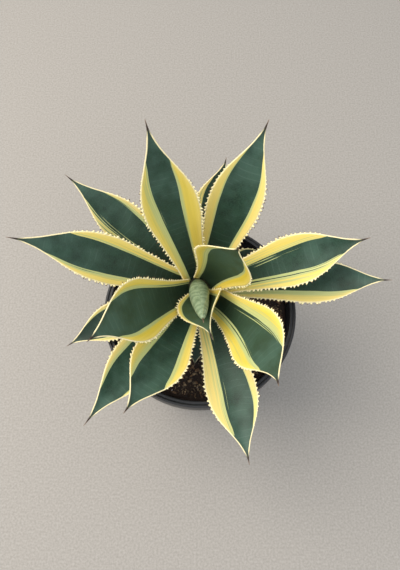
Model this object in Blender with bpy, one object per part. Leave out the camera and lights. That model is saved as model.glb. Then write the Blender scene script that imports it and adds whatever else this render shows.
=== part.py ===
# A variegated agave in a black nursery pot: pot, potting soil, short stem, 17 leaves and the
# rolled central spear. Metres, +Z up, origin at the centre of the pot's underside.
import bmesh
import bpy
from math import cos, pi, radians, sin
from mathutils import Matrix, Vector

GAP = 0.0003                    # clearance between pieces that meet

# ---- driving dimensions: pot ----
POT_HEIGHT = 0.200
RIM_RADIUS = 0.115              # outside of the rolled rim
RIM_WIDTH = 0.0075              # flat top of the rim
SKIRT_DEPTH = 0.028             # how far the rim's skirt hangs down
SKIRT_WALL = 0.0018
FOOT_RADIUS = 0.094             # outside of the base
WALL = 0.0016
BASE_THICKNESS = 0.0025
DRAIN_HOLES = 6
DRAIN_RADIUS = 0.007
DRAIN_CIRCLE = 0.062
SIDES = 48

# ---- driving dimensions: soil and stem ----
SOIL_TOP = 0.180
STEM_FOOT_RADIUS = 0.022
STEM_HEAD_RADIUS = 0.0070
STEM_HEAD_HEIGHT = 0.0215       # above the heart, along the stem

# ---- driving dimensions: the rosette's own frame ----
HEART = Vector((0.0, 0.022, 0.214))
LEAN = 18                       # the rosette leans this many degrees towards -Y

# ---- driving dimensions: leaves ----
# Leaves are numbered from the youngest, in the heart, to the oldest, next to the soil.
# Each one starts a little further out and lower than the one before it.
FIRST_REACH = 0.010
REACH_STEP = 0.0010
FIRST_HEIGHT = 0.029
HEIGHT_STEP = 0.0034
BASE_THICK = 0.0065             # at the midrib, where a leaf meets the stem
TIP_THICK = 0.0018
EDGE_THICK = 0.0011
CLASP = 20                      # extra roll of the leaf's foot round the stem, degrees
CLASP_SHARE = 0.2               # share of the length over which that roll dies out

# Share of the greatest half width, at shares of the length from the foot to the end of the
# spine: a waisted foot, a broad middle, a drawn-out tip and a needle.
OUTLINE = ((0, 0.50), (0.12, 0.58), (0.28, 0.76), (0.46, 0.98), (0.53, 1.0), (0.62, 0.94),
           (0.70, 0.77), (0.78, 0.50), (0.85, 0.26), (0.90, 0.12), (0.94, 0.05), (1, 0.012))

# azimuth: where the leaf points, degrees from +X towards +Y; sway: how far it turns by the tip
# rise, mid, tip: slope at the foot, the middle and the tip, degrees above the rosette's plane
# twist: how far the blade has turned about its midrib by the tip, degrees
# gutter: half of the angle that the blade is rolled through, at the foot and at the tip
# fullness: over 1, the blade stays broad for longer before it tapers
LEAF_FIELDS = ("azimuth", "sway", "rise", "mid", "tip", "length", "width", "twist",
               "foot_gutter", "tip_gutter", "fullness")
LEAVES = (
    (-82, 16, 63, 69, 20, 0.090, 0.056, 43, 64, 12, 0.60),    # the cup that holds the spear
    (47, -10, 61, 74, 76, 0.130, 0.066, 22, 39, 9, 1.15),
    (198, 26, 49, 63, 50, 0.187, 0.063, -16, 21, 24, 1.10),
    (-37, -48, 48, 60, 46, 0.182, 0.062, 30, 12, 9, 1.34),
    (110, -6, 44, 53, 45, 0.217, 0.058, -1, 25, 28, 1.00),
    (241, -8, 40, 48, 47, 0.178, 0.059, 2, 26, 27, 1.10),
    (17, -2, 36, 35, 43, 0.194, 0.054, 3, 26, 25, 1.10),
    (162, 11, 37, 36, 36, 0.216, 0.052, 4, 26, 29, 0.97),
    (-72, -8, 29, 30, 34, 0.193, 0.055, 4, 25, 25, 1.17),
    (68, -1, 38, 40, 39, 0.203, 0.058, 4, 26, 26, 0.99),
    (228, 6, 24, 36, 25, 0.192, 0.055, 3, 22, 27, 0.92),
    (4, -5, 23, 24, 26, 0.200, 0.047, 0, 27, 23, 1.20),
    (139, 3, 26, 30, 26, 0.187, 0.048, 0, 25, 26, 1.00),
    (266, 0, 16, 12, 6, 0.070, 0.036, 0, 25, 25, 1.05),       # short old leaf near the soil
    (28, 0, 22, 19, 18, 0.075, 0.037, -1, 25, 24, 1.17),      # short old leaf near the soil
    (199, 15, 20, 18, 11, 0.149, 0.045, 2, 25, 26, 1.07),
    (80, -5, 24, 26, 24, 0.139, 0.050, -1, 25, 24, 1.13),
)
RINGS = (0, 0.06, 0.14, 0.24, 0.34, 0.44, 0.54, 0.63, 0.71, 0.78, 0.85, 0.90, 0.94, 1)
ACROSS = (-1, -0.5, 0, 0.5, 1)
LINE_STEPS = 60                 # steps in which a leaf's centre line is walked

# ---- driving dimensions: the rolled central spear ----
SPEAR_FOOT = Vector((-0.0027, 0.0057, 0.0246))
SPEAR_AZIMUTH = -81
SPEAR_SLOPE = 68
SPEAR_LENGTH = 0.107
SPEAR_RADIUS = 0.0105
SPEAR_OUTLINE = ((0, 0.52), (0.06, 0.74), (0.14, 0.90), (0.24, 1.0), (0.36, 0.98), (0.52, 0.84),
                 (0.68, 0.62), (0.82, 0.36), (0.93, 0.13), (0.97, 0.06), (1, 0.04))
SPEAR_SIDES = 14


def material(name, colour, roughness):
    mat = bpy.data.materials.new(name)
    mat.use_nodes = True
    shader = mat.node_tree.nodes["Principled BSDF"]
    shader.inputs["Base Color"].default_value = (*colour, 1)
    shader.inputs["Roughness"].default_value = roughness
    return mat


def add_object(name, mesh, mat, smooth=True):
    obj = bpy.data.objects.new(name, mesh)
    bpy.context.collection.objects.link(obj)
    mesh.materials.append(mat)
    if smooth:
        mesh.shade_smooth()
        mesh.set_sharp_from_angle(angle=radians(40))
    return obj


def mesh_from(name, points, faces):
    mesh = bpy.data.meshes.new(name)
    mesh.from_pydata(points, [], faces)
    mesh.validate()
    return mesh


def turned(name, profile, sides):
    """Turn an (r, z) outline, which starts and ends on the axis, about Z."""
    mesh = mesh_from(name, [(r, 0, z) for r, z in profile], [])
    edges = bmesh.new()
    edges.from_mesh(mesh)
    edges.verts.ensure_lookup_table()
    line = [edges.edges.new(pair) for pair in zip(edges.verts[:-1], edges.verts[1:])]
    bmesh.ops.spin(edges, geom=edges.verts[:] + line, cent=(0, 0, 0), axis=(0, 0, 1),
                   angle=2 * pi, steps=sides, use_merge=True)
    bmesh.ops.remove_doubles(edges, verts=edges.verts, dist=1e-6)
    bmesh.ops.recalc_face_normals(edges, faces=edges.faces)
    edges.to_mesh(mesh)
    edges.free()
    return mesh


def lofted(name, rings):
    """Skin a row of closed rings of equal count, and close both ends."""
    count = len(rings[0])
    points = [point for ring in rings for point in ring]
    faces = []
    for row in range(len(rings) - 1):
        for step in range(count):
            here = row * count + step
            side = row * count + (step + 1) % count
            faces.append((here, side, side + count, here + count))
    last = (len(rings) - 1) * count
    faces.append(tuple(reversed(range(count))))
    faces.append(tuple(range(last, last + count)))
    mesh = mesh_from(name, points, faces)
    closed = bmesh.new()
    closed.from_mesh(mesh)
    bmesh.ops.triangulate(closed, faces=closed.faces)
    bmesh.ops.recalc_face_normals(closed, faces=closed.faces)
    closed.to_mesh(mesh)
    closed.free()
    return mesh


def smooth_between(table, share):
    """Read a table of (share, value) pairs with an eased step between neighbours' slopes."""
    for index in range(len(table) - 1):
        (x0, y0), (x1, y1) = table[index], table[index + 1]
        if share <= x1:
            before = table[max(index - 1, 0)]
            after = table[min(index + 2, len(table) - 1)]
            slope0 = (y1 - before[1]) / (x1 - before[0])
            slope1 = (after[1] - y0) / (after[0] - x0)
            span = x1 - x0
            s = (share - x0) / span
            return (y0 * (2 * s ** 3 - 3 * s ** 2 + 1) + slope0 * span * (s ** 3 - 2 * s ** 2 + s)
                    + y1 * (3 * s ** 2 - 2 * s ** 3) + slope1 * span * (s ** 3 - s ** 2))
    return table[-1][1]


def pot_radius(z):
    """Outside radius of the tapered body at a height."""
    top = RIM_RADIUS - RIM_WIDTH + WALL
    return FOOT_RADIUS + (top - FOOT_RADIUS) * z / POT_HEIGHT


def build_pot(mat):
    skirt_low = POT_HEIGHT - SKIRT_DEPTH
    underside = POT_HEIGHT - SKIRT_WALL
    chamfer = 0.0012
    outline = [
        (0, 0), (FOOT_RADIUS - chamfer, 0), (FOOT_RADIUS, chamfer),
        (pot_radius(underside) + 0.0003, underside),
        (RIM_RADIUS - SKIRT_WALL, underside),
        (RIM_RADIUS - SKIRT_WALL, skirt_low),
        (RIM_RADIUS, skirt_low),
        (RIM_RADIUS, POT_HEIGHT - chamfer), (RIM_RADIUS - chamfer, POT_HEIGHT),
        (RIM_RADIUS - RIM_WIDTH + chamfer, POT_HEIGHT),
        (RIM_RADIUS - RIM_WIDTH, POT_HEIGHT - chamfer),
        (pot_radius(BASE_THICKNESS) - WALL, BASE_THICKNESS), (0, BASE_THICKNESS),
    ]
    pot = add_object("pot", turned("pot", outline, SIDES), mat)
    for hole in range(DRAIN_HOLES):
        angle = 2 * pi * (hole + 0.5) / DRAIN_HOLES + pi / (2 * SIDES)
        mesh = bpy.data.meshes.new("drain_cutter")
        cutter_mesh = bmesh.new()
        bmesh.ops.create_cone(cutter_mesh, cap_ends=True, segments=14, radius1=DRAIN_RADIUS,
                              radius2=DRAIN_RADIUS, depth=BASE_THICKNESS * 4)
        cutter_mesh.to_mesh(mesh)
        cutter_mesh.free()
        cutter = bpy.data.objects.new("drain_cutter_%d" % hole, mesh)
        cutter.location = (DRAIN_CIRCLE * cos(angle), DRAIN_CIRCLE * sin(angle), 0)
        cutter.hide_render = True
        cutter.display_type = "WIRE"
        bpy.context.collection.objects.link(cutter)
        cut = pot.modifiers.new("drain_%d" % hole, "BOOLEAN")
        cut.object = cutter
        cut.operation = "DIFFERENCE"
    return pot


def build_soil(mat):
    low = BASE_THICKNESS + GAP
    inset = WALL + GAP + 0.0002
    outline = [(0, low), (pot_radius(low) - inset, low),
               (pot_radius(SOIL_TOP) - inset, SOIL_TOP), (0, SOIL_TOP)]
    return add_object("potting_soil", turned("potting_soil", outline, SIDES), mat)


def build_stem(mat, rosette):
    """A leaning stump, cut off level just above the soil."""
    bottom = (SOIL_TOP - HEART.z) / cos(radians(LEAN)) - 0.012
    heights = (bottom, -0.018, -0.004, 0.009, STEM_HEAD_HEIGHT)
    radii = (STEM_FOOT_RADIUS, STEM_FOOT_RADIUS - 0.0005, 0.0165, 0.0115, STEM_HEAD_RADIUS)
    rings = []
    for height, radius in zip(heights, radii):
        rings.append([Vector((radius * cos(2 * pi * step / 20), radius * sin(2 * pi * step / 20),
                              height)) for step in range(20)])
    mesh = lofted("stem", rings)
    level = rosette.inverted() @ Vector((HEART.x, HEART.y, SOIL_TOP + GAP))
    down = rosette.inverted().to_3x3() @ Vector((0, 0, -1))
    cut = bmesh.new()
    cut.from_mesh(mesh)
    bmesh.ops.bisect_plane(cut, geom=cut.verts[:] + cut.edges[:] + cut.faces[:], plane_co=level,
                           plane_no=down, clear_outer=True)
    bmesh.ops.holes_fill(cut, edges=[edge for edge in cut.edges if edge.is_boundary])
    bmesh.ops.triangulate(cut, faces=cut.faces)
    bmesh.ops.recalc_face_normals(cut, faces=cut.faces)
    cut.to_mesh(mesh)
    cut.free()
    return add_object("stem", mesh, mat)


def leaf_line(leaf):
    """Walk a leaf's centre line: a (place, forward, side, up) row at each step."""
    rows = []
    place = Vector((leaf["reach"], 0, leaf["height"]))
    step_length = leaf["length"] / LINE_STEPS
    for step in range(LINE_STEPS + 1):
        share = step / LINE_STEPS
        slope = radians(leaf["rise"] * (1 - share) * (1 - 2 * share)
                        + leaf["mid"] * 4 * share * (1 - share)
                        + leaf["tip"] * share * (2 * share - 1))
        turn = radians(leaf["sway"]) * share ** 2
        forward = Vector((cos(slope) * cos(turn), cos(slope) * sin(turn), sin(slope)))
        flat_side = Vector((-sin(turn), cos(turn), 0))
        flat_up = forward.cross(flat_side)
        twist = radians(leaf["twist"]) * share
        side = flat_side * cos(twist) + flat_up * sin(twist)
        up = flat_up * cos(twist) - flat_side * sin(twist)
        if rows:
            place = place + (forward + rows[-1][1]) * (step_length / 2)
        rows.append((place, forward, side, up))
    return rows


def leaf_ring(leaf, row, share):
    """One closed section of a leaf: its hollow upper face, then its rounded underside."""
    place, forward, side, up = row
    half = leaf["width"] / 2 * smooth_between(OUTLINE, share ** leaf["fullness"])
    clasp = CLASP * max(0, 1 - share / CLASP_SHARE) ** 2
    gutter = radians(leaf["foot_gutter"] * (1 - share) + leaf["tip_gutter"] * share + clasp)
    keel = (BASE_THICK * (1 - share) + TIP_THICK * share) * min(1, half / 0.006)
    edge = min(EDGE_THICK, keel)
    top, under = [], []
    for across in ACROSS:
        turn = gutter * across
        point = place + side * (half * sin(turn) / gutter) + up * (half * (1 - cos(turn)) / gutter)
        outwards = side * sin(turn) - up * cos(turn)
        depth = edge + (keel - edge) * (1 - across ** 2)
        top.append(point)
        under.append(point + outwards * depth)
    return top + list(reversed(under))


def build_leaf(number, values, mat, rosette):
    leaf = dict(zip(LEAF_FIELDS, values))
    leaf["reach"] = FIRST_REACH + REACH_STEP * number
    leaf["height"] = FIRST_HEIGHT - HEIGHT_STEP * number
    line = leaf_line(leaf)
    rings = [leaf_ring(leaf, line[round(share * LINE_STEPS)], share) for share in RINGS]
    name = "leaf_%02d" % (number + 1)
    obj = add_object(name, lofted(name, rings), mat)
    obj.parent = rosette
    obj.rotation_euler.z = radians(leaf["azimuth"])
    return obj


def build_spear(mat, rosette):
    rings = []
    for share, width in SPEAR_OUTLINE:
        radius = SPEAR_RADIUS * width
        rings.append([Vector((radius * cos(2 * pi * step / SPEAR_SIDES),
                              radius * sin(2 * pi * step / SPEAR_SIDES),
                              SPEAR_LENGTH * share)) for step in range(SPEAR_SIDES)])
    obj = add_object("central_spear", lofted("central_spear", rings), mat)
    obj.parent = rosette
    obj.location = SPEAR_FOOT
    obj.rotation_euler = (0, radians(90 - SPEAR_SLOPE), radians(SPEAR_AZIMUTH))
    return obj


def main():
    for old in list(bpy.data.objects):
        bpy.data.objects.remove(old)

    rosette = bpy.data.objects.new("rosette", None)
    rosette.matrix_world = Matrix.Translation(HEART) @ Matrix.Rotation(radians(LEAN), 4, "X")
    bpy.context.collection.objects.link(rosette)
    frame = rosette.matrix_world.copy()

    plastic = material("black polypropylene", (0.027, 0.029, 0.033), 0.45)
    soil = material("bark potting soil", (0.020, 0.012, 0.007), 0.95)
    green = material("agave leaf", (0.045, 0.095, 0.065), 0.5)
    pale = material("rolled young leaf", (0.20, 0.27, 0.13), 0.5)
    corky = material("agave stem", (0.10, 0.08, 0.04), 0.8)

    build_pot(plastic)
    build_soil(soil)
    stem = build_stem(corky, frame)
    stem.parent = rosette
    for number, values in enumerate(LEAVES):
        build_leaf(number, values, green, rosette)
    build_spear(pale, rosette)


main()
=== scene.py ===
# A variegated agave in a nursery pot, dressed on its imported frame.
from functools import partial
from math import cos, pi, radians, sin

import bmesh
import bpy
import numpy as np
from mathutils import Matrix, Vector, noise


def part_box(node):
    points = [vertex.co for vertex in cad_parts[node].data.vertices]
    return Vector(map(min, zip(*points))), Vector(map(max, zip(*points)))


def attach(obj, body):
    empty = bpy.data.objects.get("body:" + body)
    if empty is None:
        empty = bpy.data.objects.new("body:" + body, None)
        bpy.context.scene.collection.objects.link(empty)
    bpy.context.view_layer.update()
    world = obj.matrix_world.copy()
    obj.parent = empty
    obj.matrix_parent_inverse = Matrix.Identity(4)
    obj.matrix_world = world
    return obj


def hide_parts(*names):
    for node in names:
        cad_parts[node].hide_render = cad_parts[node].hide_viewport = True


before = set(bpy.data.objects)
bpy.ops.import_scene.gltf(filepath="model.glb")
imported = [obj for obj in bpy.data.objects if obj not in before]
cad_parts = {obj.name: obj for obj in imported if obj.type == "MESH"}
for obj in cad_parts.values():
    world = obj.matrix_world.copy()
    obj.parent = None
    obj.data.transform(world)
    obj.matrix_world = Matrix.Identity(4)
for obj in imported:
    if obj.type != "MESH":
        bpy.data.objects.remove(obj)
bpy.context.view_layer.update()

collection = bpy.context.scene.collection
mm = 0.001


def linearColour(hexColour):
    parts = [int(hexColour[at:at + 2], 16) / 255 for at in (1, 3, 5)]
    return [part / 12.92 if part <= 0.04045 else ((part + 0.055) / 1.055) ** 2.4
            for part in parts] + [1.0]


def setSockets(node, links):
    # keys: socket names, or places among the sockets in use; values: nodes, sockets or numbers
    sockets = [socket for socket in node.inputs if socket.enabled]
    for key, value in links.items():
        socket = sockets[key] if isinstance(key, int) else next(s for s in sockets if s.name == key)
        if isinstance(value, bpy.types.Node):
            value = next(s for s in value.outputs if s.enabled)
        if isinstance(value, bpy.types.NodeSocket):
            node.id_data.links.new(value, socket)
        elif isinstance(value, str) and value.startswith("#"):
            socket.default_value = linearColour(value)
        else:
            socket.default_value = value


def addNode(tree, kind, links=None, **settings):
    # kind goes without its family name, as in Math or MeshCone; a Mix mixes colours
    family = next(name for name in ("ShaderNode", "GeometryNode", "FunctionNode", "Node")
                  if hasattr(bpy.types, name + kind))
    node = tree.nodes.new(family + kind)
    if kind == "Mix":
        node.data_type = "RGBA"
    for name, value in settings.items():
        setattr(node, name, value)
    setSockets(node, links or {})
    return node


def newMaterial(name):
    material = bpy.data.materials.new(name)
    material.use_nodes = True
    tree = material.node_tree
    tree.nodes.clear()
    shader = addNode(tree, "BsdfPrincipled")
    addNode(tree, "OutputMaterial", {"Surface": shader})
    return material, partial(addNode, tree), shader


def newGeometryTree(name, inputs):
    tree = bpy.data.node_groups.new(name, "GeometryNodeTree")
    tree.interface.new_socket(name="Geometry", in_out="OUTPUT", socket_type="NodeSocketGeometry")
    tree.interface.new_socket(name="Geometry", in_out="INPUT", socket_type="NodeSocketGeometry")
    for label, kind, value in inputs:
        socket = tree.interface.new_socket(name=label, in_out="INPUT",
                                           socket_type="NodeSocket" + kind)
        if value is not None:
            socket.default_value = value
    source = tree.nodes.new("NodeGroupInput")
    return tree, partial(addNode, tree), source.outputs


def endGeometryTree(tree, geometry, material):
    realized = addNode(tree, "RealizeInstances", {"Geometry": geometry})
    coloured = addNode(tree, "SetMaterial", {"Geometry": realized, "Material": material})
    addNode(tree, "GroupOutput", {"Geometry": coloured})


def grownMesh(name, startMesh, tree, values):
    # run a geometry tree once and keep its result as a plain mesh
    piece = bpy.data.objects.new(name, startMesh)
    collection.objects.link(piece)
    modifier = piece.modifiers.new(name, "NODES")
    modifier.node_group = tree
    sockets = {item.name: item.identifier for item in tree.interface.items_tree
               if item.item_type == "SOCKET" and item.in_out == "INPUT"}
    for label, value in values.items():
        modifier[sockets[label]] = value
    graph = bpy.context.evaluated_depsgraph_get()
    plain = bpy.data.meshes.new_from_object(piece.evaluated_get(graph), depsgraph=graph,
                                            preserve_all_data_layers=True)
    piece.modifiers.remove(modifier)
    piece.data = plain
    bpy.data.meshes.remove(startMesh)
    plain.name = name
    plain.shade_smooth()
    return piece


def plainPiece(name, points, faces, material):
    mesh = bpy.data.meshes.new(name)
    mesh.from_pydata(points, [], faces)
    shell = bmesh.new()
    shell.from_mesh(mesh)
    bmesh.ops.remove_doubles(shell, verts=shell.verts, dist=1e-6)
    bmesh.ops.recalc_face_normals(shell, faces=shell.faces)
    shell.to_mesh(mesh)
    shell.free()
    mesh.shade_smooth()
    mesh.materials.append(material)
    piece = bpy.data.objects.new(name, mesh)
    collection.objects.link(piece)
    return piece


def storeValues(mesh, name, values, kind="FLOAT"):
    layer = mesh.attributes.new(name, kind, "POINT")
    layer.data.foreach_set("value" if kind == "FLOAT" else "vector",
                           np.asarray(values, np.float32).ravel())


def readValues(mesh, name):
    values = np.zeros(len(mesh.vertices), np.float32)
    mesh.attributes[name].data.foreach_get("value", values)
    return values


def eased(table, share):
    # read a table of (share, value) pairs, easing between its neighbours' slopes
    for index in range(len(table) - 1):
        (x0, y0), (x1, y1) = table[index], table[index + 1]
        if share <= x1:
            before, after = table[max(index - 1, 0)], table[min(index + 2, len(table) - 1)]
            slope0 = (y1 - before[1]) / (x1 - before[0])
            slope1 = (after[1] - y0) / (after[0] - x0)
            span = x1 - x0
            s = (share - x0) / span
            return (y0 * (2 * s ** 3 - 3 * s ** 2 + 1) + slope0 * span * (s ** 3 - 2 * s ** 2 + s)
                    + y1 * (3 * s ** 2 - 2 * s ** 3) + slope1 * span * (s ** 3 - s ** 2))
    return table[-1][1]


# the rosette: where it stands and how it leans
rosette = {
    "heart": Vector((0, 0.022, 0.214)),
    "lean": 18,                 # degrees towards -Y
    "firstReach": 0.010,
    "reachStep": 0.0010,
    "firstHeight": 0.029,
    "heightStep": 0.0034,
}
rosetteMatrix = (Matrix.Translation(rosette["heart"])
                 @ Matrix.Rotation(radians(rosette["lean"]), 4, "X"))

# leaves
leafRule = {
    "baseThick": 0.0065, "tipThick": 0.0018, "edgeThick": 0.0010,
    "clasp": 20, "claspShare": 0.2,      # extra roll of the foot round the stem
    "thinBelow": 0.006,                  # half widths under this thin the blade
    "leastGutter": 0.02,                 # radians, so that a flat blade still has a radius
    # where the blade ends and the terminal spine begins, over what run it closes into a round
    # spine, how far it rolls back, and how thick it and its edge are for their half width
    "needleStart": 0.945, "needleRun": 0.03, "needleRoll": 55, "needleThick": 1.25,
    "needleEdge": 0.4,
    "rows": 170, "columns": 25,
    # share of the greatest half width from the foot to the end of the spine
    "outline": ((0, 0.50), (0.12, 0.58), (0.28, 0.76), (0.46, 0.98), (0.53, 1.0), (0.62, 0.94),
                (0.70, 0.77), (0.78, 0.50), (0.85, 0.26), (0.90, 0.13), (0.945, 0.052), (1, 0.008)),
    # how the coloured margin narrows towards the place where it ends
    "marginTaper": ((0, 1), (0.60, 1), (0.75, 0.86), (0.87, 0.66), (0.93, 0.47), (0.98, 0.15),
                    (1.03, 0.04), (1.10, 0), (2, 0)),
}
# grow: azimuth, sway, rise, mid, tip, length, width, twist, foot gutter, tip gutter, fullness
# left, right: share of the half blade that is coloured, where that ends, how much of it is the
# half-green inner band, how streaky it is; age: 0 is the youngest leaf, 1 the oldest
leafTable = {
    "leaf_01": {"grow": (-82, 16, 63, 69, 20, 0.090, 0.056, 43, 64, 12, 0.60),
                "left": (0.20, 0.9, 0.3, 0.1), "right": (0.32, 0.9, 0.2, 0.1), "age": 0.0},
    "leaf_02": {"grow": (47, -10, 61, 74, 76, 0.130, 0.066, 22, 39, 9, 1.15),
                "left": (0.40, 0.84, 0.15, 0.15), "right": (0.43, 0.84, 0.40, 0.1), "age": 0.1},
    "leaf_03": {"grow": (198, 26, 49, 63, 50, 0.187, 0.063, -16, 21, 24, 1.10),
                "left": (0.31, 0.76, 0.25, 0.3), "right": (0.44, 0.81, 0.30, 0.3), "age": 0.3},
    "leaf_04": {"grow": (-37, -48, 48, 60, 46, 0.182, 0.062, 30, 12, 9, 1.34),
                "left": (0.58, 0.82, 0.50, 0.5), "right": (0.52, 0.77, 0.45, 0.5), "age": 0.3},
    "leaf_05": {"grow": (110, -6, 44, 53, 45, 0.217, 0.058, -1, 25, 28, 1.00),
                "left": (0.63, 0.81, 0.12, 0.1), "right": (0.56, 0.83, 0.50, 0.4), "age": 0.6},
    "leaf_06": {"grow": (241, -8, 40, 48, 47, 0.178, 0.059, 2, 26, 27, 1.10),
                "left": (0.54, 0.79, 0.50, 0.1), "right": (0.45, 0.73, 0.40, 0.1), "age": 0.6},
    "leaf_07": {"grow": (17, -2, 36, 35, 43, 0.194, 0.054, 3, 26, 25, 1.10),
                "left": (0.50, 0.85, 0.45, 0.8), "right": (0.50, 0.78, 0.30, 0.9), "age": 0.7},
    "leaf_08": {"grow": (162, 11, 37, 36, 36, 0.216, 0.052, 4, 26, 29, 0.97),
                "left": (0.42, 0.74, 0.20, 0.4), "right": (0.40, 0.85, 0.35, 0.3), "age": 0.7},
    "leaf_09": {"grow": (-72, -8, 29, 30, 34, 0.193, 0.055, 4, 25, 25, 1.17),
                "left": (0.60, 0.83, 0.35, 0.9), "right": (0.28, 0.82, 0.20, 0.2), "age": 0.9},
    "leaf_10": {"grow": (68, -1, 38, 40, 39, 0.203, 0.058, 4, 26, 26, 0.99),
                "left": (0.38, 0.86, 0.20, 0.1), "right": (0.41, 0.88, 0.10, 0.1), "age": 0.8},
    "leaf_11": {"grow": (228, 6, 24, 36, 25, 0.192, 0.055, 3, 22, 27, 0.92),
                "left": (0.36, 0.84, 0.45, 0.1), "right": (0.38, 0.80, 0.30, 0.2), "age": 0.9},
    "leaf_12": {"grow": (4, -5, 23, 24, 26, 0.200, 0.047, 0, 27, 23, 1.20),
                "left": (0.58, 0.82, 0.50, 0.2), "right": (0.30, 0.68, 0.30, 0.2), "age": 0.8},
    "leaf_13": {"grow": (139, 3, 26, 30, 26, 0.187, 0.048, 0, 25, 26, 1.00),
                "left": (0.30, 0.80, 0.30, 0.3), "right": (0.44, 0.86, 0.60, 0.9), "age": 0.9},
    "leaf_14": {"grow": (266, 0, 16, 12, 6, 0.070, 0.036, 0, 25, 25, 1.05),
                "left": (0.08, 0.80, 0.60, 0.1), "right": (0.10, 0.80, 0.60, 0.1), "age": 1.0},
    "leaf_15": {"grow": (28, 0, 22, 19, 18, 0.075, 0.037, -1, 25, 24, 1.17),
                "left": (0.06, 0.80, 0.80, 0.1), "right": (0.06, 0.80, 0.80, 0.1), "age": 1.0},
    "leaf_16": {"grow": (199, 15, 20, 18, 11, 0.149, 0.045, 2, 25, 26, 1.07),
                "left": (0.26, 0.85, 0.30, 0.2), "right": (0.30, 0.84, 0.30, 0.2), "age": 1.0},
    "leaf_17": {"grow": (80, -5, 24, 26, 24, 0.139, 0.050, -1, 25, 24, 1.13),
                "left": (0.32, 0.82, 0.30, 0.2), "right": (0.36, 0.84, 0.40, 0.5), "age": 1.0},
}
growNames = ("azimuth", "sway", "rise", "mid", "tip", "length", "width", "twist",
             "footGutter", "tipGutter", "fullness")
toothRule = {
    "spacing": 4.9 * mm, "youngSpacing": 4.1 * mm, "height": 3.5 * mm, "base": 2.1 * mm,
    "thickness": 0.36, "hook": 0.28, "youngLeaves": 4, "seed": 100,
    "from": 0.05, "to": 0.78,            # share of the blade's length that bears teeth
    "sunk": 0.2,                         # millimetres a tooth's foot lies inside the margin
    "footGrow": (0.55, 1.6), "tipGrow": (0.35, 2.6),     # size at either end, and how fast it grows
}
paintRule = {
    # where streaks stop past the band's end, over what run, and by how many millimetres a share
    "streakStop": 0.97, "streakRun": 0.1, "streakPull": 40,
    # narrow bands have a weaker rim; the rim fades out towards the spine
    "rimFullBand": 0.25, "rimEnd": 0.955, "rimFade": 0.04,
    "leafGap": 31.0,                     # millimetres between two leaves in the colour's space
}


def readLeaf(number, entry):
    leaf = dict(zip(growNames, entry["grow"]))
    leaf["reach"] = rosette["firstReach"] + rosette["reachStep"] * number
    leaf["height"] = rosette["firstHeight"] - rosette["heightStep"] * number
    return leaf


def leafRows(leaf):
    # walk the midrib and note the blade's section at each step
    steps = leafRule["rows"] - 1
    matrix = rosetteMatrix @ Matrix.Rotation(radians(leaf["azimuth"]), 4, "Z")
    turnOnly = matrix.to_3x3()
    place = Vector((leaf["reach"], 0, leaf["height"]))
    before = None
    rows = []
    for step in range(steps + 1):
        s = step / steps
        slope = radians(leaf["rise"] * (1 - s) * (1 - 2 * s) + leaf["mid"] * 4 * s * (1 - s)
                        + leaf["tip"] * s * (2 * s - 1))
        turn = radians(leaf["sway"]) * s ** 2
        forward = Vector((cos(slope) * cos(turn), cos(slope) * sin(turn), sin(slope)))
        flatSide = Vector((-sin(turn), cos(turn), 0))
        flatUp = forward.cross(flatSide)
        twist = radians(leaf["twist"]) * s
        if before:
            place = place + (forward + before) * (leaf["length"] / steps / 2)
        before = forward
        t = s ** leaf["fullness"]
        half = leaf["width"] / 2 * eased(leafRule["outline"], t)
        clasp = leafRule["clasp"] * max(0, 1 - s / leafRule["claspShare"]) ** 2
        gutter = leaf["footGutter"] * (1 - s) + leaf["tipGutter"] * s + clasp
        keel = leafRule["baseThick"] * (1 - s) + leafRule["tipThick"] * s
        keel *= min(1, half / leafRule["thinBelow"])
        edge = min(leafRule["edgeThick"], keel)
        needle = (t - leafRule["needleStart"] + leafRule["needleRun"]) / leafRule["needleRun"]
        needle = min(1, max(0, needle))
        gutter = radians(gutter * (1 - needle) - leafRule["needleRoll"] * needle)
        if abs(gutter) < leafRule["leastGutter"]:
            gutter = leafRule["leastGutter"]
        keel = keel * (1 - needle) + half * leafRule["needleThick"] * needle
        edge = edge * (1 - needle) + half * leafRule["needleEdge"] * needle
        rows.append({"s": s, "t": t, "place": matrix @ place, "half": half, "gutter": gutter,
                     "keel": keel, "edge": edge,
                     "side": turnOnly @ (flatSide * cos(twist) + flatUp * sin(twist)),
                     "up": turnOnly @ (flatUp * cos(twist) - flatSide * sin(twist))})
    return rows


def closedRow(row):
    # a section shrunk to its own middle, which closes the end of the blade
    middle = row["place"] - row["up"] * row["keel"] / 2
    return {**row, "place": middle, "half": 1e-9, "keel": 0, "edge": 0}


# blade tree: a grid rolled into a closed sleeve, upper face first, then the underside
bladeTree, bladeNode, bladeIn = newGeometryTree("leafBlade", (
    ("Rows", "Int", 100), ("Columns", "Int", 25), ("Weld Distance", "Float", 1e-6),
    ("Material", "Material", None)))
ringSteps = bladeNode("Math", {0: bladeIn["Columns"], 1: 2}, operation="MULTIPLY")
ringCount = bladeNode("Math", {0: ringSteps, 1: 1}, operation="ADD")
sleeve = bladeNode("MeshGrid", {"Size X": 1, "Size Y": 1, "Vertices X": bladeIn["Rows"],
                                "Vertices Y": ringCount})
spot = bladeNode("SeparateXYZ", {0: bladeNode("InputPosition")})
rowShare = bladeNode("Math", {0: spot.outputs["X"], 1: 0.5}, operation="ADD")
lastRow = bladeNode("Math", {0: bladeIn["Rows"], 1: 1}, operation="SUBTRACT")
rowExact = bladeNode("Math", {0: rowShare, 1: lastRow}, operation="MULTIPLY")
rowNumber = bladeNode("Math", {0: rowExact}, operation="ROUND")
ringShare = bladeNode("Math", {0: spot.outputs["Y"], 1: 0.5}, operation="ADD")
ringExact = bladeNode("Math", {0: ringShare, 1: ringSteps}, operation="MULTIPLY")
ringRound = bladeNode("Math", {0: ringExact}, operation="ROUND")
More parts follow.
